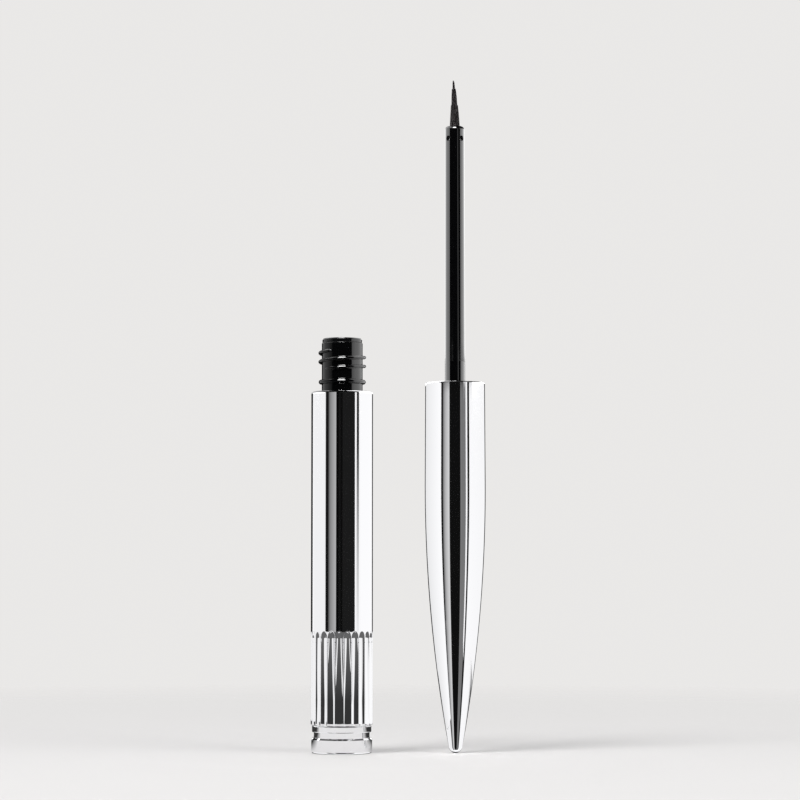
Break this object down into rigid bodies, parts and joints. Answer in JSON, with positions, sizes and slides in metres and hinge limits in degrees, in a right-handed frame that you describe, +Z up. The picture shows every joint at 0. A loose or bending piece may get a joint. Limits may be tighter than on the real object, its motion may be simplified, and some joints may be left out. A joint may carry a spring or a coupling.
{
  "type": "eyeliner",
  "caption": "Open brush eyeliner: fluted polished metal bottle with a black neck, beside its bullet-shaped cap standing on its tip with the stem and pointed brush upwards.",
  "frame": {"origin": "centre of the underside of the bottle's base plug, on the bottle's axis, on the surface that the bottle and the cap's tip stand on", "axes": "+Z up along the bottle and the applicator, +X from the bottle to the applicator that stands beside it, -Y to the front"},
  "size_m": [0.0325, 0.0116, 0.1258],
  "materials": {
    "mirror_metal": "polished",
    "ball_steel": "satin",
    "black_plastic": "gloss",
    "wiper_plastic": "gloss",
    "gasket_foam": "matte",
    "brush_fibre": "matte"
  },
  "bodies": {
    "bottle": {"base_plug": "mirror_metal", "barrel_sleeve": "mirror_metal", "inner_vial": "black_plastic", "wiper": "wiper_plastic"},
    "ball": {"mixing_ball": "ball_steel"},
    "applicator": {"cap_shell": "mirror_metal", "cap_liner": "black_plastic", "cap_gasket": "gasket_foam", "applicator_stem": "black_plastic", "brush": "brush_fibre"}
  },
  "joints": [
    {"name": "applicator_lift", "type": "slide", "parent": "bottle", "child": "applicator", "axis": [0, 0, 1], "range_m": [0, 0.08]},
    {"name": "ball_rattle", "type": "slide", "parent": "bottle", "child": "ball", "axis": [0, 0, 1], "range_m": [0, 0.052]}
  ]
}
